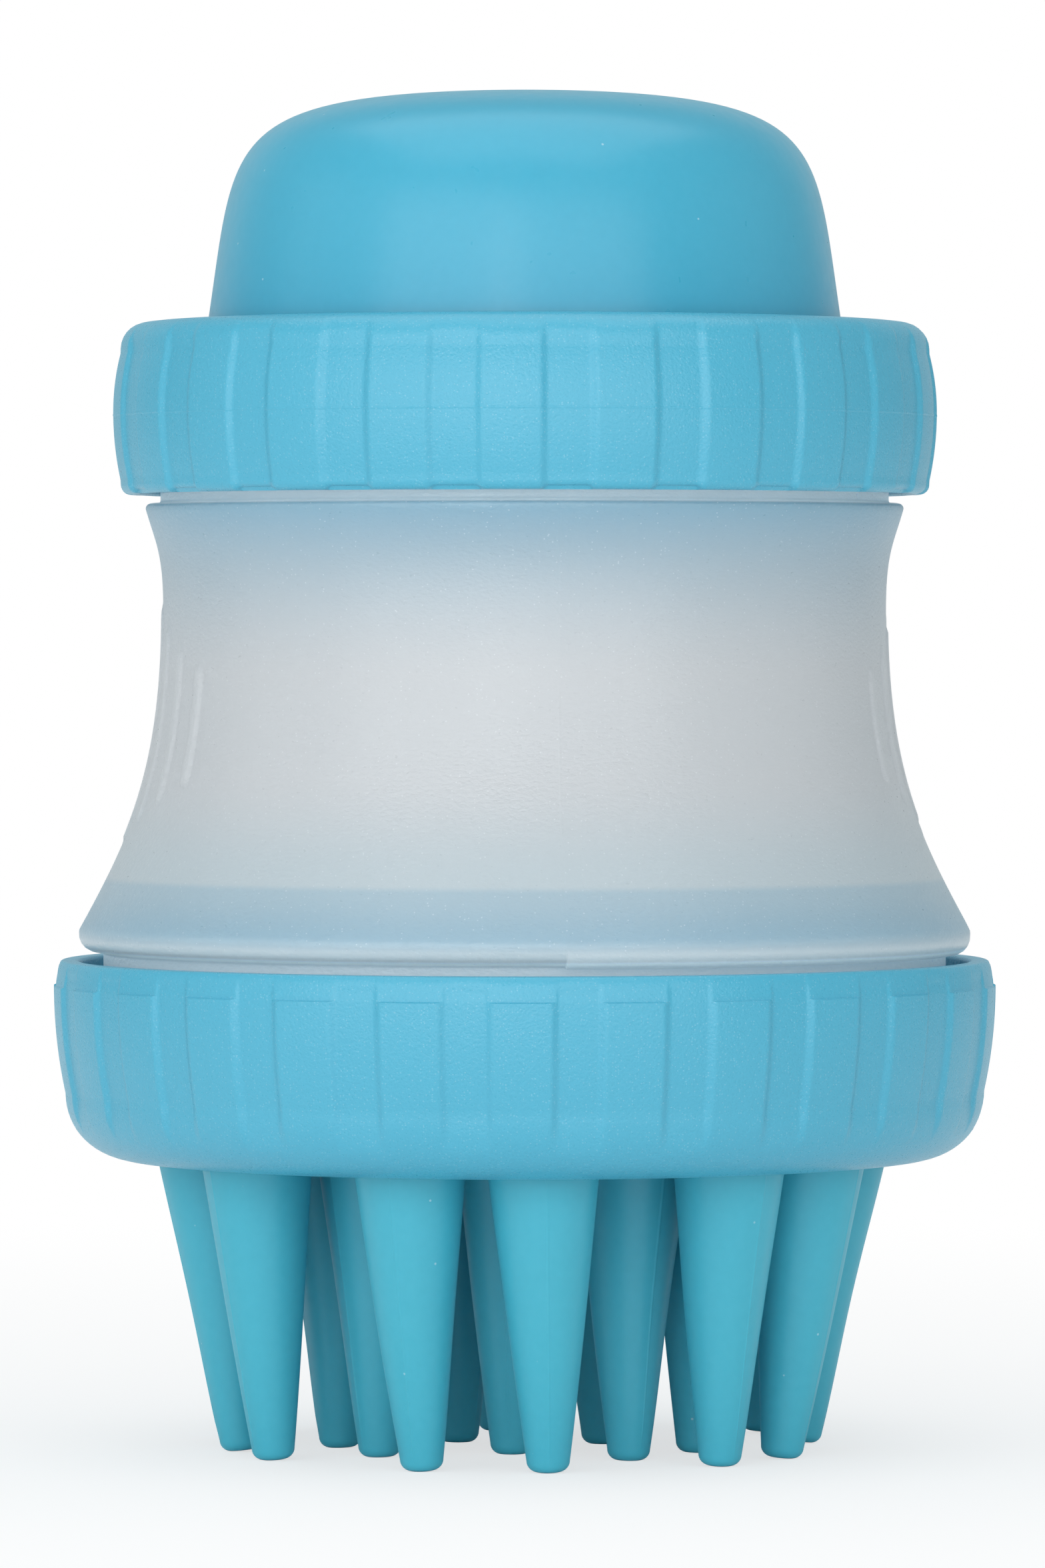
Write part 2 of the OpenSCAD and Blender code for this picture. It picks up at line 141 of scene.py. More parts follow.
def turnProfile(name, line, sectors, copies, startAngle=0.0, closed=True):
    # sectors are (degrees, steps), turned one after another, and the wedge is then repeated
    piece = pullProfile(name, line, startAngle, closed)
    bpy.ops.mesh.select_all(action="SELECT")
    for degrees, steps in sectors:
        bpy.ops.mesh.spin(steps=steps, angle=-math.radians(degrees), center=(0, 0, 0),
                          axis=(0, 0, 1))
    if copies > 1:
        bpy.ops.mesh.select_all(action="SELECT")
        bpy.ops.mesh.spin(dupli=True, steps=copies - 1, center=(0, 0, 0), axis=(0, 0, 1),
                          angle=-2 * math.pi * (copies - 1) / copies)
    bpy.ops.mesh.select_all(action="SELECT")
    bpy.ops.mesh.remove_doubles(threshold=mm * mm)
    bpy.ops.mesh.normals_make_consistent(inside=False)
    bpy.ops.object.mode_set(mode="OBJECT")
    return piece


def emboss(piece, name, height, weightAt, direction="NORMAL"):
    # weightAt takes a point's radius, its angle about the axis and its height
    group = piece.vertex_groups.new(name=name)
    for vertex in piece.data.vertices:
        x, y, z = vertex.co
        weight = weightAt(math.hypot(x, y) / mm, math.degrees(math.atan2(y, x)), z / mm)
        if weight > 0.001:
            group.add([vertex.index], min(1.0, weight), "REPLACE")
    bpy.context.view_layer.objects.active = piece
    shift = piece.modifiers.new(name, "DISPLACE")
    shift.vertex_group = name
    shift.mid_level = 0
    shift.strength = height * mm
    shift.direction = direction
    bpy.ops.object.modifier_apply(modifier=name)
    piece.vertex_groups.clear()


def angleFrom(angle, middle):  # signed degrees from middle to angle
    return (angle - middle + 180) % 360 - 180


def joinAll(target, others):
    clearSelection()
    for other in others:
        other.select_set(True)
    target.select_set(True)
    bpy.context.view_layer.objects.active = target
    bpy.ops.object.join()
    return target


def weld(target, other):  # makes one skin of two closed shapes
    bpy.context.view_layer.objects.active = target
    union = target.modifiers.new("weld", "BOOLEAN")
    union.operation = "UNION"
    union.solver = "MANIFOLD"
    union.object = other
    bpy.ops.object.modifier_apply(modifier="weld")
    bpy.data.objects.remove(other)


def smoothSkin(piece, angle=32):
    clearSelection()
    piece.select_set(True)
    bpy.context.view_layer.objects.active = piece
    bpy.ops.object.shade_smooth_by_angle(angle=math.radians(angle))


# ---- Threads ----

threadSizes = {
    "pitch": 4, "turns": 1.5, "foot": 1.6, "crest": 0.8, "depth": 1.3, "bite": 0.3,
    "lowStart": 34.9, "topStart": 92.4, "offset": 1.55, "stepAngle": 6, "fade": 4,
}


def threadRidge(name, radius, side, start):
    # side is 1 for a ridge outside a neck and -1 for one inside a collar
    sizes = threadSizes
    foot = radius - side * sizes["bite"]
    crest = radius + side * sizes["depth"]
    clearSelection()
    bpy.ops.mesh.primitive_plane_add(
        size=sizes["foot"] * mm, rotation=(math.pi / 2, 0, 0),
        location=((foot + crest) / 2 * mm, 0, start * mm))
    ridge = bpy.context.active_object
    ridge.name = name
    bpy.ops.object.transform_apply(location=True, rotation=True, scale=True)
    bpy.ops.object.mode_set(mode="EDIT")
    bpy.ops.mesh.select_all(action="SELECT")
    bpy.ops.transform.resize(value=(abs(crest - foot) / sizes["foot"], 1, 1),
                             center_override=((foot + crest) / 2 * mm, 0, start * mm))
    selectPoints(ridge, lambda r, angle, z: (r - (foot + crest) / 2) * side > 0)
    bpy.ops.transform.resize(value=(1, 1, sizes["crest"] / sizes["foot"]),
                             center_override=(crest * mm, 0, start * mm))
    bpy.ops.mesh.select_all(action="SELECT")
    steps = round(360 * sizes["turns"] / sizes["stepAngle"])
    rise = sizes["pitch"] * sizes["stepAngle"] / 360
    for step in range(steps):
        bpy.ops.mesh.extrude_region_move(TRANSFORM_OT_translate={"value": (0, 0, rise * mm)})
        bpy.ops.transform.rotate(value=-math.radians(sizes["stepAngle"]), orient_axis="Z",
                                 center_override=(0, 0, 0))
    # both ends run out into the wall
    for ring in list(range(sizes["fade"])) + list(range(steps - sizes["fade"] + 1, steps + 1)):
        grown = (min(ring, steps - ring) + 1) / (sizes["fade"] + 1)
        ringAngle = ring * sizes["stepAngle"]
        ringHeight = start + ring * rise
        selectPoints(ridge, lambda r, angle, z: (
            abs(angleFrom(angle, ringAngle)) < 1 and abs(z - ringHeight) < sizes["foot"] / 2
            and (r - radius) * side > 0))
        size = (radius + side * sizes["depth"] * grown) / crest
        bpy.ops.transform.resize(value=(size, size, 1), center_override=(0, 0, 0))
    bpy.ops.mesh.select_all(action="SELECT")
    bpy.ops.mesh.normals_make_consistent(inside=False)
    bpy.ops.object.mode_set(mode="OBJECT")
    return ridge


def selectPoints(piece, chosen):  # in edit mode, by radius, angle and height
    bpy.ops.mesh.select_all(action="DESELECT")
    bpy.ops.object.mode_set(mode="OBJECT")
    for vertex in piece.data.vertices:
        x, y, z = vertex.co
        vertex.select = chosen(math.hypot(x, y) / mm, math.degrees(math.atan2(y, x)), z / mm)
    bpy.ops.object.mode_set(mode="EDIT")


# ---- Bottle ----

bottleSizes = {
    "lowBore": 37.6, "lowNeck": 39.7, "topBore": 32.2, "topNeck": 34.3,
    "neckFoot": 32.9, "shoulder": 46.85, "rim": 88.95, "neckTop": 100.4,
    "shoulderR": 42.2, "shoulderRound": 1.6, "rimR": 35.7, "rimRound": 0.5, "wall": 1.9,
    "waistR": 34.05, "waistLow": 63.75, "waist": 78.85, "lowHandle": (37.3, 57.35),
    "waistHandle": 84.45, "rimHandle": (34.8, 85.25), "bellyRise": 0.65,
    "ribCount": 7, "ribPitch": 8, "ribWidth": 1.7, "ribProud": 0.21, "ribLength": 22,
    "ribStep": 3.7, "ribMiddle": 68.15, "ribZone": 28, "ribEdge": (-0.42, 0.18),
    "seamAngle": -89.1, "seamProud": 0.02, "seamWidth": 0.16,
    "halfDrop": -0.3, "halfFade": (47.2, 49.8),
}


def makeBottle():
    sizes = bottleSizes
    low = curveLine((sizes["shoulderR"], sizes["shoulder"] + sizes["shoulderRound"]),
                    sizes["lowHandle"], (sizes["waistR"], sizes["waistLow"]),
                    (sizes["waistR"], sizes["waist"]), 64)
    high = curveLine((sizes["waistR"], sizes["waist"]), (sizes["waistR"], sizes["waistHandle"]),
                     sizes["rimHandle"], (sizes["rimR"], sizes["rim"] - sizes["rimRound"]), 18)
    side = low + high[1:]
    inner = [(r - sizes["wall"], z) for r, z in side[::4] if z < sizes["rim"] - 2 * sizes["wall"]]
    outline = roundedLine(
        [(sizes["lowBore"], sizes["neckFoot"], 0.4), (sizes["lowNeck"], sizes["neckFoot"], 0.5),
         (sizes["lowNeck"], sizes["shoulder"], 0.3),
         (sizes["shoulderR"], sizes["shoulder"], sizes["shoulderRound"])]
        + side[1:]
        + [(sizes["rimR"], sizes["rim"], sizes["rimRound"]), (sizes["topNeck"], sizes["rim"], 0.3),
           (sizes["topNeck"], sizes["neckTop"], 0.5), (sizes["topBore"], sizes["neckTop"], 0.4),
           (sizes["topBore"], sizes["rim"] - sizes["wall"], 0.6)]
        + inner[::-1]
        + [(sizes["lowBore"], sizes["shoulder"] + sizes["bellyRise"], 0.6)])
    zone = sizes["ribZone"]
    lead = 90 - zone
    # half a turn, from the front seam over the ribs to the back seam
    sectors = [(0.5, 4), (lead - 1, 24), (2 * zone + 1, 142), (lead - 1, 24), (0.5, 4)]
    bottle = turnProfile("bottle", outline, sectors, 2, sizes["seamAngle"])

    reach = (sizes["ribCount"] - 1) // 2

    def ribWeight(r, angle, z):
        if r < sizes["waistR"] - 0.3 or z < sizes["shoulder"] or z > sizes["rim"] - 1:
            return 0
        weight = 0
        for face in (0, 180):
            for rib in range(-reach, reach + 1):
                across = math.radians(angleFrom(angle, face + rib * sizes["ribPitch"])) * r
                if abs(across) > 2:
                    continue
                half = (sizes["ribLength"] - abs(rib) * sizes["ribStep"] - sizes["ribWidth"]) / 2
                along = max(0, abs(z - sizes["ribMiddle"]) - half)
                edge = math.hypot(across, along) - sizes["ribWidth"] / 2
                weight = max(weight, 1 - softStep(edge, *sizes["ribEdge"]))
        return weight

    def seamWeight(r, angle, z):
        if z < sizes["shoulder"] - 0.1 or z > sizes["rim"] or r < sizes["waistR"] - 0.3:
            return 0
        across = min(abs(angleFrom(angle, sizes["seamAngle"])),
                     abs(angleFrom(angle, sizes["seamAngle"] + 180)))
        return 1 - softStep(math.radians(across) * r, 0, sizes["seamWidth"])

    def halfWeight(r, angle, z):  # one half of the mould sits a little lower at the shoulder
        if r < sizes["lowNeck"] + 0.25 or z > sizes["halfFade"][1]:
            return 0
        if not -89.9 <= angleFrom(angle, sizes["seamAngle"] + 90) <= 90:
            return 0
        return 1 - softStep(z, *sizes["halfFade"])

    emboss(bottle, "ribs", sizes["ribProud"], ribWeight)
    emboss(bottle, "seam", sizes["seamProud"], seamWeight)
    emboss(bottle, "half", sizes["halfDrop"], halfWeight, "Z")
    weld(bottle, threadRidge("lowThread", sizes["lowNeck"], 1, threadSizes["lowStart"]))
    weld(bottle, threadRidge("topThread", sizes["topNeck"], 1, threadSizes["topStart"]))
    smoothSkin(bottle)
    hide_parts("reservoir")
    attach(bottle, "bottle")
    return bottle


bottle = makeBottle()
print("bottle:", len(bottle.data.polygons), "faces")


# ---- Screw collars ----

lowerCollarSizes = {
    "bottom": 27.4, "top": 46.0, "lipTop": 29.9, "lipR": 36.2, "bore": 41.9,
    "widest": 44.44, "crest": 43.5, "bulge": 46, "bottomRound": 6.2, "topArc": 4.4,
    "lands": 27, "landWidth": 6, "turn": -4.6, "slope": 0.9, "recess": 0.38,
    "recessFrom": 29.2, "recessTo": 45.9, "bottomFade": 4.2, "topFade": 1.5,
    "ledge": 43.58, "ledgeRise": 0.16, "ledgeShare": 0.6,
    "sideSteps": 28, "footSteps": 16,
    "topSteps": (0.04, 0.08, 0.12, 0.16, 0.2, 0.24, 0.4, 0.65, 0.9, 1.15, 1.4, 1.7, 2.0),
}

upperCollarSizes = {
    "bottom": 89.8, "top": 105.9, "lipFoot": 103.4, "lipR": 30.4, "bore": 36.5,
    "widest": 38.83, "crest": 97.5, "lowBulge": 30, "highBulge": 22, "topRound": 2.6,
    "bottomRound": 1, "lands": 23, "landWidth": 6, "turn": -6.1, "slope": 0.9, "recess": 0.36,
    "recessFrom": 88.0, "recessTo": 105.7, "bottomFade": 1, "topFade": 2.6,
    "linePlace": 97.2, "lineProud": 0.04, "lineEdge": (0.02, 0.12),
    "sideSteps": 40, "lineSteps": (-0.14, -0.07, 0.0, 0.07, 0.14),
}


def landSectors(sizes):  # from the middle of one land to the middle of the next
    radius = sizes["widest"]
    pitch = 360 / sizes["lands"]
    slope = math.degrees(1.5 * sizes["slope"] / radius)
    land = math.degrees((sizes["landWidth"] - 1.5 * sizes["slope"]) / radius) / 2
    floor = pitch - 2 * slope - 2 * land
    return [(land, 3), (slope, 8), (floor, 3), (slope, 8), (land, 3)]


def recessWeight(sizes):
    pitch = 360 / sizes["lands"]
    startAngle = -90 + sizes["turn"]
    half = sizes["landWidth"] / 2

    def weightAt(r, angle, z):
        if r < sizes["bore"] + 0.5 or z < sizes["recessFrom"] or z > sizes["recessTo"]:
            return 0
        off = (angle - startAngle + pitch / 2) % pitch - pitch / 2
        across = abs(math.radians(off)) * sizes["widest"]
        ends = softStep(z, sizes["recessFrom"], sizes["recessFrom"] + sizes["bottomFade"]) \
            * (1 - softStep(z, sizes["recessTo"] - sizes["topFade"], sizes["recessTo"]))
        floor = softStep(across, half - sizes["slope"] / 2, half + sizes["slope"] / 2)
        if "ledge" in sizes:  # a land stops short of the rounding
            rise = softStep(z, sizes["ledge"], sizes["ledge"] + sizes["ledgeRise"])
            floor = max(floor, sizes["ledgeShare"] * rise)
        return floor * ends
    return weightAt


def mouldLine(sizes):  # a fine witness line round the lands
    def weightAt(r, angle, z):
        if r < sizes["bore"] + 0.5:
            return 0
        return 1 - softStep(abs(z - sizes["linePlace"]), *sizes["lineEdge"])
    return weightAt


def finishCollar(collar, sizes, thread):
    emboss(collar, "recesses", -sizes["recess"], recessWeight(sizes))
    if "linePlace" in sizes:
        emboss(collar, "line", sizes["lineProud"], mouldLine(sizes))
    weld(collar, thread)
    smoothSkin(collar)


def makeLowerCollar():
    sizes = lowerCollarSizes
    corner = sizes["bottom"] + sizes["bottomRound"]
    side = []
    for step in range(sizes["sideSteps"] + 1):
        z = corner + (sizes["crest"] - corner) * step / sizes["sideSteps"]
        side.append((sizes["widest"] - arcDrop(sizes["crest"] - z, sizes["bulge"]), z))
    foot = quarterRound((side[0][0] - sizes["bottomRound"], corner), sizes["bottomRound"],
                        sizes["footSteps"])
    top = [(sizes["widest"] - arcDrop(step, sizes["topArc"]), sizes["crest"] + step)
           for step in sizes["topSteps"]]
    rimR = sizes["widest"] - arcDrop(sizes["top"] - sizes["crest"], sizes["topArc"])
    outline = roundedLine(
        [(sizes["lipR"], sizes["bottom"], 0.4)] + foot + side[1:] + top
        + [(rimR, sizes["top"], 0.35), (sizes["bore"], sizes["top"], 0.4),
           (sizes["bore"], sizes["lipTop"], 0.3), (sizes["lipR"], sizes["lipTop"], 0.3)])
    collar = turnProfile("lowerCollar", outline, landSectors(sizes), sizes["lands"],
                         -90 + sizes["turn"])
    finishCollar(collar, sizes, threadRidge(
        "lowerCollarThread", sizes["bore"], -1, threadSizes["lowStart"] + threadSizes["offset"]))
    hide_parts("bottom_collar")
    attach(collar, "lower_collar")
    return collar


def makeUpperCollar():
    sizes = upperCollarSizes
    start, end = sizes["bottom"] + sizes["bottomRound"], sizes["top"] - sizes["topRound"]
    side = []
    heights = [start + (end - start) * step / sizes["sideSteps"]
               for step in range(sizes["sideSteps"] + 1)]
    heights += [sizes["linePlace"] + step for step in sizes["lineSteps"]]
    for z in sorted(heights):
        bulge = sizes["highBulge"] if z > sizes["crest"] else sizes["lowBulge"]
        side.append((sizes["widest"] - arcDrop(abs(z - sizes["crest"]), bulge), z))
    outline = roundedLine(
        [(sizes["bore"], sizes["lipFoot"], 0.3), (sizes["bore"], sizes["bottom"], 0.4),
         (side[0][0], sizes["bottom"], 0.9)]
        + side[1:-1]
        + [(side[-1][0], sizes["top"], sizes["topRound"] - 0.1), (sizes["lipR"], sizes["top"], 0.4),
           (sizes["lipR"], sizes["lipFoot"], 0.3)], 7)
    collar = turnProfile("upperCollar", outline, landSectors(sizes), sizes["lands"],
                         -90 + sizes["turn"])
    finishCollar(collar, sizes, threadRidge(
        "upperCollarThread", sizes["bore"], -1, threadSizes["topStart"] - threadSizes["offset"]))
    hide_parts("top_collar")
    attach(collar, "upper_collar")
    return collar


lowerCollar = makeLowerCollar()
upperCollar = makeUpperCollar()
print("collars:", len(lowerCollar.data.polygons), len(upperCollar.data.polygons), "faces")


# ---- Press dome ----

domeSizes = {
    "radius": 29.85, "foot": 105.9, "top": 127.6, "wall": 1.8, "crown": 2.4,
    "flangeTop": 103.4, "flangeFoot": 100.4, "flangeR": 36.0, "plugR": 31.8, "plugBore": 30.2,
    "plugFoot": 91.4, "bendFrom": 102.5, "bendTo": 120.5, "sideLean": 2.7, "sideShare": 0.82,
    "topLean": 0.9, "stemHeights": (104.2, 104.9, 105.4),
    "boreHeights": (104.9, 103.9, 102.9, 101.9), "plugTop": 99.4, "throat": 101.1,
}


def domeLine(inset, crown):
    sizes = domeSizes
    r = sizes["radius"] - inset
    rise = sizes["top"] - sizes["foot"]
    return curveLine(
        (r, sizes["foot"]), (r - sizes["sideLean"], sizes["foot"] + sizes["sideShare"] * rise),
        (r - sizes["topLean"], sizes["top"] - crown), (0, sizes["top"] - crown), 44)


def domeOutline():
    sizes = domeSizes
    outer = domeLine(0, 0)
    inner = domeLine(sizes["wall"], sizes["crown"])
    stem = [(sizes["radius"], z) for z in sizes["stemHeights"]]
    bore = [(sizes["radius"] - sizes["wall"], z) for z in sizes["boreHeights"]]
    return roundedLine(
        outer[::-1] + stem[::-1]
        + [(sizes["radius"], sizes["flangeTop"], 0.4), (sizes["flangeR"], sizes["flangeTop"], 0.4),
           (sizes["flangeR"], sizes["flangeFoot"], 0.4), (sizes["plugR"], sizes["flangeFoot"], 0.3),
           (sizes["plugR"], sizes["plugFoot"], 0.5), (sizes["plugBore"], sizes["plugFoot"], 0.5),
           (sizes["plugBore"], sizes["plugTop"], 1.2),
           (sizes["radius"] - sizes["wall"], sizes["throat"], 1.2)]
        + bore[::-1] + inner)


def makePressDome():
    dome = turnProfile("pressDome", domeOutline(), [(90, 48)], 4, 0, closed=False)
    smoothSkin(dome, 40)
    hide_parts("pump_dome", "dome_flange")
    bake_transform(dome)
    return dome


pressDome = makePressDome()
print("press dome:", len(pressDome.data.polygons), "faces")


# ---- Bristle pad ----

padSizes = {
    "under": 28.4, "top": 32.4, "edgeR": 35.8, "flangeR": 41.4, "flangeFoot": 29.9,
    "flangeTop": 32.9, "plugR": 37.2, "plugTop": 53.75, "plugWall": 2, "outlet": 2.7,
}

bristleSizes = {
    "length": 28.4, "rootR": 5.25, "tipR": 2.0, "tipRound": 1.0, "bite": 1.0, "turn": -13,
    "rings": [
        {"radius": 29.7, "lean": 2.5,
         "angles": [60 * i + h * 12 for i in range(6) for h in (-1, 1)]},
        {"radius": 18.2, "lean": 0.8,
         "angles": [60 + 120 * i + h * 17.5 for i in range(3) for h in (-1, 1)]},
        {"radius": 8.0, "lean": 0.0, "angles": [0, 120, 240]},
    ],
    # outer bristles that hang their own way, as angle: (inwards, sideways)
    "bent": {12: (2.5, 0.6), 48: (2.4, 0.9), 72: (2.7, -0.5), 108: (3.3, -0.3), 132: (2.2, 0.5),
             192: (2.8, -0.4), 252: (2.3, 0.4), 288: (2.7, 0.6), 312: (2.4, -0.9)},
    "bow": 0.3, "seamProud": 0.05, "seamEdge": (0.4, 2.4), "seamFoot": (1.2, 3),
    "gateDip": 0.1, "gateEdge": (0.3, 0.6), "gateRings": (0, 0.28, 0.5), "sway": 0.25,
    "tipSteps": 8, "tipHandle": (1.15, 0.33), "rootHandle": (1.05, 0.69), "rootFlare": 0.1,
}


def makeBristle():
    sizes = bristleSizes
    tipR, rounding, length = sizes["tipR"], sizes["tipRound"], sizes["length"]
    side = curveLine((tipR, rounding),
                     (tipR + sizes["tipHandle"][0], sizes["tipHandle"][1] * length),
                     (sizes["rootR"] - sizes["rootHandle"][0], sizes["rootHandle"][1] * length),
                     (sizes["rootR"] + sizes["rootFlare"], length + sizes["bite"]), 26)
    gate = [(r, 0) for r in sizes["gateRings"]]
    tip = quarterRound((tipR - rounding, rounding), rounding, sizes["tipSteps"])
    outline = gate + tip + side[1:] + [(0, length + sizes["bite"])]
    sectors = [(3, 3), (174, 22), (3, 3)]  # finer beside the two seams
    bristle = turnProfile("bristle", outline, sectors, 2, 0, closed=False)
    emboss(bristle, "seam", sizes["seamProud"], lambda r, angle, z: (
        (1 - softStep(min(abs(angle), 180 - abs(angle)), *sizes["seamEdge"]))
        * softStep(z, *sizes["seamFoot"]) if r > 0.4 and z < length else 0))
    emboss(bristle, "gate", sizes["gateDip"], lambda r, angle, z: (
        0 if z > 0.01 else 1 - softStep(r, *sizes["gateEdge"])), "Z")
    return bristle


def placeBristle(bristle, ring, angle):
    # a soft bristle never hangs quite straight, so some tips lean a little their own way
    sizes = bristleSizes
    straight = (ring["lean"], sizes["sway"] * math.sin(2 * angle))
    inwards, sideways = sizes["bent"].get(angle, straight)
    emboss(bristle, "bow", sizes["bow"] * math.sin(5 * angle + ring["radius"]),
           lambda r, around, z: math.sin(math.pi * min(1, z / sizes["length"])) ** 2, "X")
    tilt, roll = math.asin(inwards / sizes["length"]), math.asin(sideways / sizes["length"])
    lift = (sizes["tipR"] - sizes["tipRound"]) * (math.sin(abs(tilt)) + math.sin(abs(roll)))
    for location, rotation, scale in (
            ((0, 0, 0), (0, 0, 0), (1, 1, 1 / math.cos(tilt) / math.cos(roll))),
            ((0, 0, 0), (roll, 0, 0), (1, 1, 1)),
            (((ring["radius"] - inwards) * mm, sideways * mm, lift * mm), (0, tilt, 0), (1, 1, 1)),
            ((0, 0, 0), (0, 0, math.radians(-90 + sizes["turn"] + angle)), (1, 1, 1))):
        bristle.location, bristle.rotation_euler, bristle.scale = location, rotation, scale
        bpy.ops.object.transform_apply(location=True, rotation=True, scale=True)


def makeBristlePad():
    sizes = padSizes
    pad = turnProfile("bristlePad", roundedLine([
        (sizes["outlet"], sizes["under"], 0.2), (sizes["edgeR"], sizes["under"], 0.5),
        (sizes["edgeR"], sizes["flangeFoot"], 0.25), (sizes["flangeR"], sizes["flangeFoot"], 0.4),
        (sizes["flangeR"], sizes["flangeTop"], 0.4), (sizes["plugR"], sizes["flangeTop"], 0.3),
        (sizes["plugR"], sizes["plugTop"], 0.5),
        (sizes["plugR"] - sizes["plugWall"], sizes["plugTop"], 0.5),
        (sizes["plugR"] - sizes["plugWall"], sizes["top"], 1.2),
        (sizes["outlet"], sizes["top"], 0.2)]), [(90, 40)], 4)
    pattern = makeBristle()
    bristles = []
    for ring in bristleSizes["rings"]:
        for angle in ring["angles"]:
            clearSelection()
            pattern.select_set(True)
            bpy.context.view_layer.objects.active = pattern
            bpy.ops.object.duplicate()
            placeBristle(bpy.context.active_object, ring, angle)
            bristles.append(bpy.context.active_object)
    bpy.data.objects.remove(pattern)
    brush = joinAll(bristles[0], bristles[1:])
    weld(pad, brush)
    smoothSkin(pad)
    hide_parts("bristle_pad", "pad_bristles")
    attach(pad, "brush_head")
    return pad


bristlePad = makeBristlePad()
print("bristle pad:", len(bristlePad.data.polygons), "faces")


# ---- Materials ----

def tint(red, green, blue):  # screen values from 0 to 255
    linear = []
    for value in (red, green, blue):
        value = value / 255
        linear.append(value / 12.92 if value <= 0.04045 else ((value + 0.055) / 1.055) ** 2.4)
    return (*linear, 1.0)


class Wire:  # one output of a node, with plain arithmetic
    def __init__(self, nodes, socket):
        self.nodes = nodes
        self.socket = socket

    def math(self, operation, first, second):
        return self.nodes.node("ShaderNodeMath", {"operation": operation}, {0: first, 1: second})

    def __add__(self, other):
        return self.math("ADD", self, other)

    def __sub__(self, other):
        return self.math("SUBTRACT", self, other)

    def __rsub__(self, other):
        return self.math("SUBTRACT", other, self)

    def __mul__(self, other):
        return self.math("MULTIPLY", self, other)

    def __pow__(self, other):
        return self.math("POWER", self, other)

    def __rpow__(self, other):
        return self.math("POWER", other, self)

    __radd__ = __add__
    __rmul__ = __mul__


class Nodes:  # one tree of nodes, and every node in it comes from here
    def __init__(self, tree):
        self.tree = tree

    def node(self, kind, settings, inputs, output=0):
        made = self.tree.nodes.new(kind)
        for setting, value in settings.items():
            setattr(made, setting, value)
        for socket, value in inputs.items():
            if isinstance(value, Wire):
                self.tree.links.new(value.socket, made.inputs[socket])
            else:
                made.inputs[socket].default_value = value
        return Wire(self, made.outputs[output]) if made.outputs else None

    def mixShader(self, factor, first, second):
        return self.node("ShaderNodeMixShader", {}, {0: factor, 1: first, 2: second})


class Finish(Nodes):  # one material, with its Principled shader and its pattern's place
    def __init__(self, name, shader):
        self.material = bpy.data.materials.new(name)
        self.material.use_nodes = True
        super().__init__(self.material.node_tree)
        self.skin = self.tree.nodes["Principled BSDF"]
        for socket, value in shader.items():
            self.skin.inputs[socket].default_value = value
        self.place = self.node("ShaderNodeTexCoord", {}, {}, "Object")

    def feed(self, socket, value):
        self.tree.links.new(value.socket, self.skin.inputs[socket])

    def mix(self, factor, first, second):  # of two colours
        return self.node("ShaderNodeMix", {"data_type": "RGBA"},
                         {0: factor, 6: first, 7: second}, 2)

    def noise(self, size, detail=2.0, place=None):  # size in millimetres
        return self.node("ShaderNodeTexNoise", {}, {
            "Vector": place or self.place, "Scale": 1 / (size * mm), "Detail": detail}, 0)

    def ramp(self, value, low, high, first=0.0, last=1.0, kind="SMOOTHSTEP"):
        return self.node("ShaderNodeMapRange", {"interpolation_type": kind}, {
            "Value": value, "From Min": low, "From Max": high, "To Min": first, "To Max": last})

    def height(self):  # in millimetres
        return self.node("ShaderNodeSeparateXYZ", {}, {0: self.place}, 2) * (1 / mm)

    def bump(self, height, distance, strength=1.0):  # distance in millimetres
        return self.node("ShaderNodeBump", {}, {
            "Height": height, "Distance": distance * mm, "Strength": strength})

    def flecks(self, spacing, size, share):  # small dots, 0 to 1, with size as part of the spacing
        distance = self.node("ShaderNodeTexVoronoi", {}, {
            "Vector": self.place, "Scale": 1 / (spacing * mm)}, "Distance")
        colour = Wire(self, distance.socket.node.outputs["Color"])
        drawn = self.node("ShaderNodeSeparateColor", {}, {0: colour}, 0)
        near = 1 - self.ramp(distance, size * 0.5, size)
        return near * self.ramp(drawn, 1 - share, 1 - share + 0.04)

    def patchy(self, look):  # a body colour that drifts between two tints
        return self.mix(self.noise(*look["patch"]), tint(*look["darker"]), tint(*look["lighter"]))

    # pale dots: painted glints of light on the collars and the bottle, and dust on the silicone
    def dustAndGlintSpecks(self, look, body):
        dots = self.flecks(*look["dustAndGlintDots"]) * look["dustAndGlintShare"]
        return self.mix(dots, body, tint(*look["dustAndGlintTint"]))

    def grained(self, look, grain):  # a fine moulded grain, in gloss and in depth
        self.feed("Roughness", self.ramp(grain, 0.2, 0.8, *look["rough"]))
        self.feed("Normal", self.bump(grain, look["grainDepth"]))
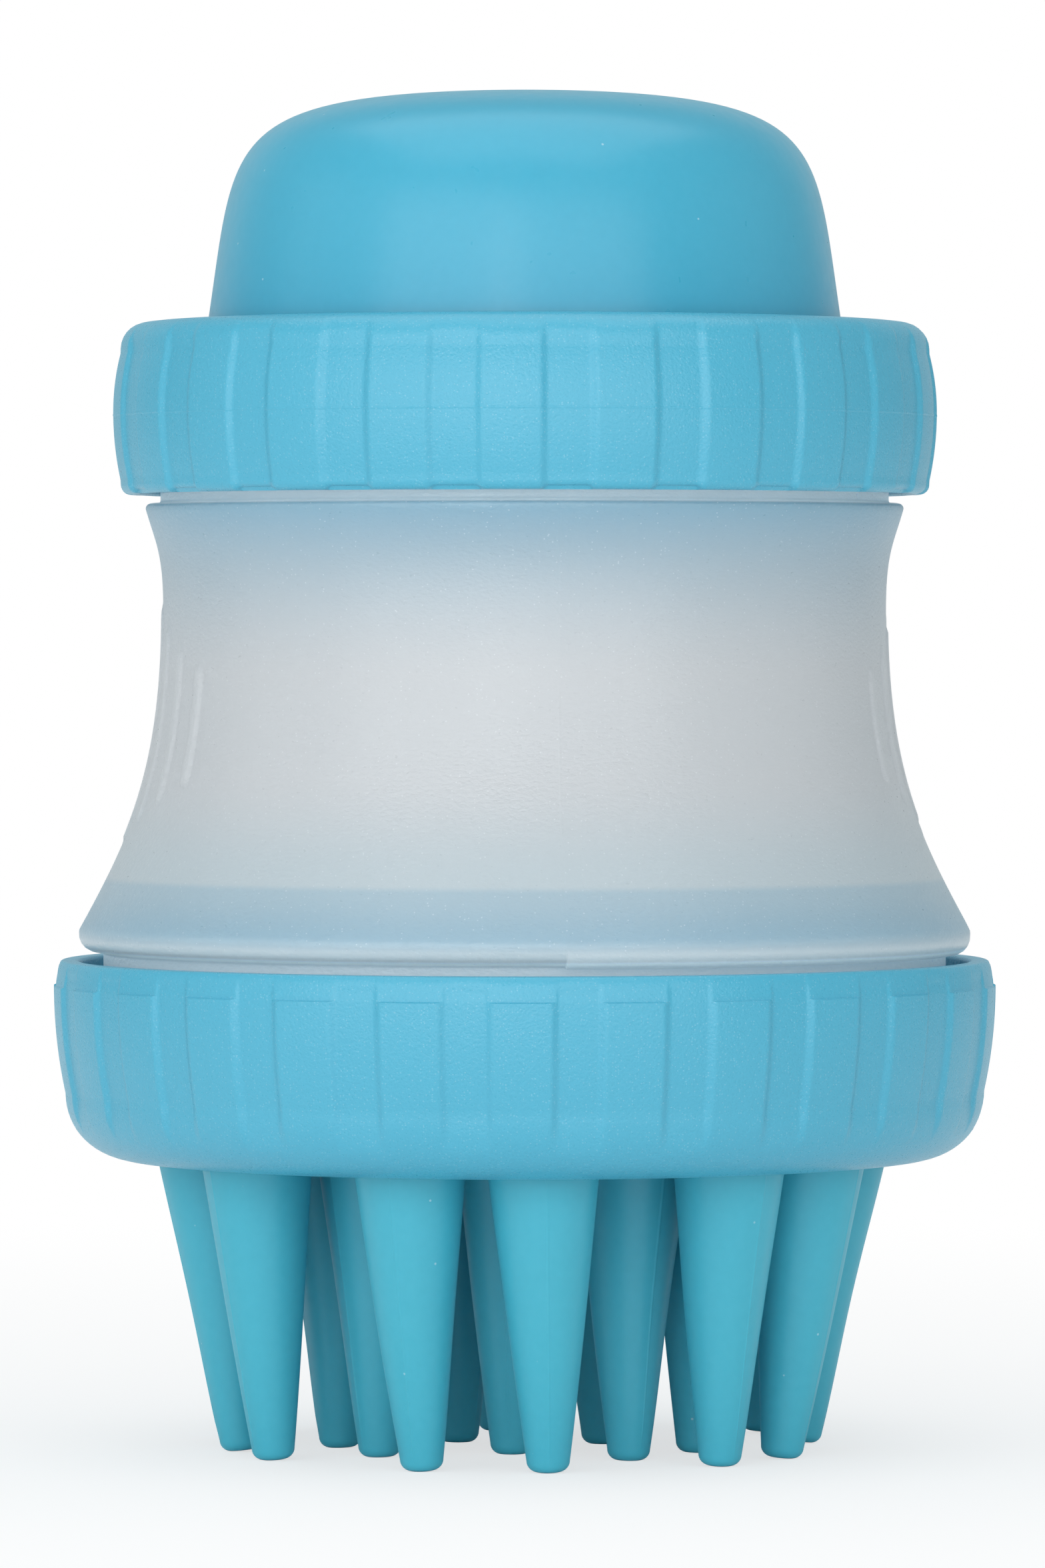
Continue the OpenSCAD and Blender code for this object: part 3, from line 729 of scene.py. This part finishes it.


# In the looks, a patch is (size, detail) and dustAndGlintDots are (spacing, size, share). A span is
# two heights, and the share at each where it doesn't run from none to all.

bottleLook = {
    "darker": (198, 200, 203), "lighter": (201, 203, 206), "patch": (25, 1.0),
    # painted shade and blue light: the wall grows darker and bluer towards the rim, under the upper
    # collar
    "rim": (138, 174, 193), "paintedRimShadeSpan": (72.5, 88.3), "paintedRimShadePower": 1.6,
    # painted shade and blue light from the pad's plug, on the flare towards the foot
    "foot": (187, 198, 204), "paintedFootShadeSpan": (53.5, 64, 1.0, 0.0),
    # painted band: the pad's plug seen through the wall, with painted shade and blue light where
    # the plug is nearest the wall
    "plug": (152, 180, 196), "plugSpan": (53.3, 54.0, 1.0, 0.0),
    "plugFade": (49.2, 53.4, 1.0, 0.6), "foldSpan": (47.4, 49.4, 0.1, 1.0),
    # painted light on the rounding under the shoulder, which faces down into shade
    "shoulder": (224, 233, 238), "paintedShoulderLightSpan": (47.6, 48.5, 0.45, 0.0),
    "neck": (196, 204, 209), "lowNeckSpan": (47.0, 47.3), "topNeckSpan": (88.7, 89.0),
    "strip": (223, 236, 244), "lowStripSpan": (44.8, 46.0), "topStripSpan": (89.8, 91.0),
    "throughLight": (0.085, 0.122, 0.145, 1),
    # painted glints: pale dots stand in for sparkle of light on the frosted grain
    "dustAndGlintTint": (240, 243, 246), "dustAndGlintDots": (0.4, 0.22, 0.3), "dustAndGlintShare": 0.28,
    "grain": 0.55, "grainFlat": (1.0, 1.0, 1.7), "grainDepth": 0.07, "rough": (0.27, 0.37),
    "shader": {"Roughness": 0.32, "IOR": 1.56, "Subsurface Weight": 0.8,
               "Subsurface Scale": 0.005, "Subsurface Radius": (1.0, 1.0, 1.0),
               "Emission Strength": 1},
}


def frostedBottle():
    # painted in the wall's colour: towards the rim, painted shade with blue light where the dome's
    # plug shows through the wall; at the bottom, the pad's plug seen through the wall as a painted
    # band, with painted light on the shoulder below it
    look = bottleLook
    finish = Finish("frostedBottle", look["shader"])
    z = finish.height()
    body = finish.patchy(look)
    # painted shade and blue light towards the rim, where the upper collar shades the wall and the
    # collar and the dome's plug throw blue light on it
    paintedRimShade = finish.ramp(z, *look["paintedRimShadeSpan"], kind="LINEAR") ** look["paintedRimShadePower"]
    body = finish.mix(paintedRimShade, body, tint(*look["rim"]))
    # painted shade and blue light from the pad's plug on the flare towards the foot
    body = finish.mix(finish.ramp(z, *look["paintedFootShadeSpan"]), body, tint(*look["foot"]))
    # painted band: the pad's plug seen through the wall, with painted shade and blue light, fading
    # into the fold at the shoulder
    plug = finish.ramp(z, *look["plugSpan"]) * finish.ramp(z, *look["plugFade"])
    body = finish.mix(plug * finish.ramp(z, *look["foldSpan"]), body, tint(*look["plug"]))
    # painted light on the shoulder's rounding, which faces down into shade
    body = finish.mix(finish.ramp(z, *look["paintedShoulderLightSpan"]), body, tint(*look["shoulder"]))
    lowNeck = 1 - finish.ramp(z, *look["lowNeckSpan"])
    topNeck = finish.ramp(z, *look["topNeckSpan"])
    body = finish.mix(lowNeck + topNeck, body, tint(*look["neck"]))
    # light that comes through the wall reaches the shaded strip beside each collar
    strip = (lowNeck * finish.ramp(z, *look["lowStripSpan"])
             + topNeck * (1 - finish.ramp(z, *look["topStripSpan"])))
    body = finish.mix(strip, body, tint(*look["strip"]))
    finish.feed("Emission Color", finish.mix(strip, (0, 0, 0, 1), look["throughLight"]))
    # pale dots: painted glints on the frosted grain
    finish.feed("Base Color", finish.dustAndGlintSpecks(look, body))
    flat = finish.node("ShaderNodeVectorMath", {"operation": "MULTIPLY"},
                       {0: finish.place, 1: look["grainFlat"]})
    finish.grained(look, finish.noise(look["grain"], place=flat))
    return finish.material


collarLook = {
    "darker": (74, 170, 198), "lighter": (79, 173, 201), "patch": (22, 1.0),
    # painted glints: pale dots stand in for light caught by the fine grain
    "dustAndGlintTint": (205, 232, 242), "dustAndGlintDots": (0.26, 0.34, 0.36), "dustAndGlintShare": 0.15,
    "grain": 0.26, "grainDepth": 0.052, "rough": (0.26, 0.36),
    "shader": {"Roughness": 0.34, "IOR": 1.55},
}


def collarPlastic():
    look = collarLook
    finish = Finish("collarPlastic", look["shader"])
    # the pale dots here are painted glints
    finish.feed("Base Color", finish.dustAndGlintSpecks(look, finish.patchy(look)))
    finish.grained(look, finish.noise(look["grain"]))
    return finish.material


siliconeLook = {
    "patch": (0.9, 2.0), "dustAndGlintTint": (205, 228, 236), "dustAndGlintDots": (3, 0.05, 0.7),
    "dustAndGlintShare": 0.5, "handled": 1.3, "roughDrift": 0.03, "dentSize": 2.5, "dentStrength": 0.6,
    "shader": {"IOR": 1.5, "Subsurface Weight": 0.3, "Subsurface Scale": 0.003,
               "Subsurface Radius": (0.4, 1.0, 1.0)},
}

domeLook = {
    **siliconeLook, "darker": (69, 169, 197), "lighter": (74, 173, 201), "rough": 0.3,
    "dentDepth": 0,
}

bristleLook = {
    **siliconeLook, "darker": (68, 176, 197), "lighter": (74, 181, 202), "rough": 0.44,
    "dentDepth": 0.02,
}


def blueSilicone(name, look):
    finish = Finish(name, {**look["shader"], "Roughness": look["rough"]})
    finish.feed("Base Color", finish.dustAndGlintSpecks(look, finish.patchy(look)))
    handled = finish.noise(look["handled"], 1.0)
    finish.feed("Roughness", finish.ramp(handled, 0.1, 0.9, look["rough"] - look["roughDrift"],
                                         look["rough"] + look["roughDrift"]))
    if look["dentDepth"]:
        dents = finish.noise(look["dentSize"], 1.0)
        finish.feed("Normal", finish.bump(dents, look["dentDepth"], look["dentStrength"]))
    return finish.material


valveLook = {
    "darker": (206, 222, 228), "lighter": (222, 234, 238), "patch": (3, 2.0), "grain": 0.6,
    "rough": (0.3, 0.42), "shader": {"Roughness": 0.35, "IOR": 1.42},
}


def clearSilicone():
    look = valveLook
    finish = Finish("clearSilicone", look["shader"])
    finish.feed("Base Color", finish.patchy(look))
    finish.feed("Roughness", finish.ramp(finish.noise(look["grain"]), 0.3, 0.7, *look["rough"]))
    return finish.material


def dress(piece, material):
    piece.data.materials.clear()
    piece.data.materials.append(material)


dress(bottle, frostedBottle())
collarFinish = collarPlastic()
dress(lowerCollar, collarFinish)
dress(upperCollar, collarFinish)
dress(pressDome, blueSilicone("domeSilicone", domeLook))
dress(bristlePad, blueSilicone("bristleSilicone", bristleLook))
dress(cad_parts["outlet_valve"], clearSilicone())
print("materials ready")


# ---- Floor, lamps and camera ----

stageLook = {
    "floorSize": 6.0, "floorTint": (0.93, 0.93, 0.93, 1), "white": (1, 1, 1, 1),
    "worldTint": (0.83, 0.96, 1.0, 1), "worldStrength": 0.38,
    "shadowShare": 0.34, "shadowReach": (0.03, 0.35),
}


def makeFloor():
    clearSelection()
    bpy.ops.mesh.primitive_circle_add(vertices=96, radius=stageLook["floorSize"],
                                      fill_type="NGON", location=(0, 0, 0))
    floor = bpy.context.active_object
    floor.name = "floor"
    material = bpy.data.materials.new("paleFloor")
    material.use_nodes = True
    material.node_tree.nodes.clear()
    nodes = Nodes(material.node_tree)
    near, far = stageLook["shadowReach"]
    place = nodes.node("ShaderNodeTexCoord", {}, {}, "Object")
    span = nodes.node("ShaderNodeVectorMath", {"operation": "LENGTH"}, {0: place}, "Value")
    away = nodes.node("ShaderNodeMapRange", {"interpolation_type": "SMOOTHSTEP"}, {
        "Value": span, "From Min": near, "From Max": far,
        "To Min": 1 - stageLook["shadowShare"], "To Max": 1.0})
    seen = nodes.node("ShaderNodeLightPath", {}, {}, "Is Camera Ray")
    matte = nodes.node("ShaderNodeBsdfDiffuse", {}, {"Color": stageLook["floorTint"]})
    white = nodes.node("ShaderNodeEmission", {}, {"Color": stageLook["white"]})
    # the floor is clear from underneath, so that the brush can be looked at from below
    below = nodes.node("ShaderNodeNewGeometry", {}, {}, "Backfacing")
    clear = nodes.node("ShaderNodeBsdfTransparent", {}, {})
    surface = nodes.mixShader(below, nodes.mixShader(seen * away, matte, white), clear)
    nodes.node("ShaderNodeOutputMaterial", {}, {"Surface": surface})
    floor.data.materials.append(material)


def makeWorld():
    world = bpy.data.worlds.new("studio")
    bpy.context.scene.world = world
    world.use_nodes = True
    world.node_tree.nodes.clear()
    nodes = Nodes(world.node_tree)
    light = nodes.node("ShaderNodeBackground", {}, {
        "Color": stageLook["worldTint"], "Strength": stageLook["worldStrength"]})
    white = nodes.node("ShaderNodeBackground", {}, {"Color": stageLook["white"], "Strength": 1})
    seen = nodes.node("ShaderNodeLightPath", {}, {}, "Is Camera Ray")
    through = Wire(nodes, seen.socket.node.outputs["Is Transmission Ray"])
    shown = nodes.node("ShaderNodeMath", {"operation": "MAXIMUM"}, {0: seen, 1: through})
    surface = nodes.mixShader(shown, light, white)
    nodes.node("ShaderNodeOutputWorld", {}, {"Surface": surface})


lampLooks = {
    # degrees from the front towards +X, degrees up, distance, width, height, brightness, and
    # whether the lamp shows in glossy skins
    "keyLamp": (-33, 6, 0.7, 0.68, 0.64, 1.68, True),
    "frontLamp": (12, 4, 0.7, 0.74, 0.64, 1.41, True),
    "leftLamp": (-84, 8, 1.2, 0.9, 1.0, 0.4, True),
    "rightLamp": (84, 8, 1.2, 0.9, 1.0, 0.16, True),
    "topLamp": (-10, 84, 1.1, 1.5, 1.5, 1.04, True),
    "backLamp": (180, 14, 1.4, 2.6, 1.6, 0.55, False),
    "rimLamp": (180, 10, 1.4, 2.6, 1.2, 0.2, True),
}
lampAim = 0.07  # the height that the lamps look at, in metres


def makeLamp(name, azimuth, elevation, distance, width, height, brightness, mirrored):
    data = bpy.data.lights.new(name, "AREA")
    data.shape = "RECTANGLE"
    data.size, data.size_y = width, height
    data.energy = brightness * math.pi * width * height
    lamp = bpy.data.objects.new(name, data)
    bpy.context.scene.collection.objects.link(lamp)
    turn, lift = math.radians(azimuth), math.radians(elevation)
    lamp.location = (distance * math.sin(turn) * math.cos(lift),
                     -distance * math.cos(turn) * math.cos(lift),
                     lampAim + distance * math.sin(lift))
    lamp.rotation_euler = (math.pi / 2 - lift, 0, turn)
    lamp.visible_camera = False
    lamp.visible_glossy = mirrored


cameraLook = {
    "distance": 0.880, "height": 0.078, "azimuth": -4.3, "pitch": 1.007, "lens": 214.29,
    "sensor": 36.0, "aside": 0.0002, "clip": (0.05, 20),
}


def makeCamera():
    data = bpy.data.cameras.new("camera")
    data.sensor_fit = "AUTO"
    data.sensor_width = cameraLook["sensor"]
    data.lens = cameraLook["lens"]
    data.clip_start, data.clip_end = cameraLook["clip"]
    camera = bpy.data.objects.new("camera", data)
    bpy.context.scene.collection.objects.link(camera)
    turn = math.radians(cameraLook["azimuth"])
    camera.location = (
        cameraLook["distance"] * math.sin(turn) - cameraLook["aside"] * math.cos(turn),
        -cameraLook["distance"] * math.cos(turn) - cameraLook["aside"] * math.sin(turn),
        cameraLook["height"])
    camera.rotation_euler = (math.pi / 2 - math.radians(cameraLook["pitch"]), 0, turn)
    bpy.context.scene.camera = camera


makeFloor()
makeWorld()
for lampName, lampLook in lampLooks.items():
    makeLamp(lampName, *lampLook)
makeCamera()
bpy.context.scene.view_settings.view_transform = "Standard"
print("stage ready")
